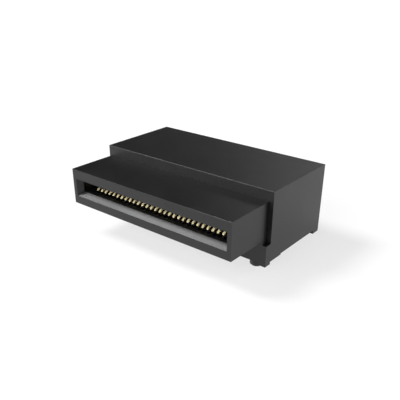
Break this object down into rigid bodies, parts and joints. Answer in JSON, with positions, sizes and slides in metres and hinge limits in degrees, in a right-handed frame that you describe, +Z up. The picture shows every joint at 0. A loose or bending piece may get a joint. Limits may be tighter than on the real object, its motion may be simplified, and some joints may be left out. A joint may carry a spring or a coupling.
{
  "type": "osfp connector",
  "caption": "Right-angle surface-mount card-edge receptacle: a black moulded nose with a wide card slot, two rows of gold spring contacts, and pegs that locate it on a circuit board.",
  "frame": {"origin": "on the circuit board's top surface, midway between the axes of the two locating pegs", "axes": "+X along the contact rows, +Y from the mating face to the rear, +Z up from the board"},
  "size_m": [0.0216, 0.0157, 0.0083],
  "materials": {
    "housing": "moulded black, satin",
    "lower_carrier": "moulded black, matt",
    "upper_carrier": "moulded black, matt",
    "rear_carrier": "moulded black, matt",
    "contact": "gold plated copper alloy"
  },
  "bodies": {
    "root": {"housing": "housing", "lower_carrier": "lower_carrier", "lower_ground_1": "contact", "lower_ground_10": "contact", "lower_ground_2": "contact", "lower_ground_3": "contact", "lower_ground_4": "contact", "lower_ground_5": "contact", "lower_ground_6": "contact", "lower_ground_7": "contact", "lower_ground_8": "contact", "lower_ground_9": "contact", "lower_low_speed_1": "contact", "lower_low_speed_2": "contact", "lower_low_speed_3": "contact", "lower_low_speed_4": "contact", "lower_pair_1": "contact", "lower_pair_2": "contact", "lower_pair_3": "contact", "lower_pair_4": "contact", "lower_pair_5": "contact", "lower_pair_6": "contact", "lower_pair_7": "contact", "lower_pair_8": "contact", "rear_carrier": "rear_carrier", "upper_carrier": "upper_carrier", "upper_ground_1": "contact", "upper_ground_10": "contact", "upper_ground_2": "contact", "upper_ground_3": "contact", "upper_ground_4": "contact", "upper_ground_5": "contact", "upper_ground_6": "contact", "upper_ground_7": "contact", "upper_ground_8": "contact", "upper_ground_9": "contact", "upper_low_speed_1": "contact", "upper_low_speed_2": "contact", "upper_low_speed_3": "contact", "upper_low_speed_4": "contact", "upper_pair_1": "contact", "upper_pair_2": "contact", "upper_pair_3": "contact", "upper_pair_4": "contact", "upper_pair_5": "contact", "upper_pair_6": "contact", "upper_pair_7": "contact", "upper_pair_8": "contact"}
  },
  "joints": []
}
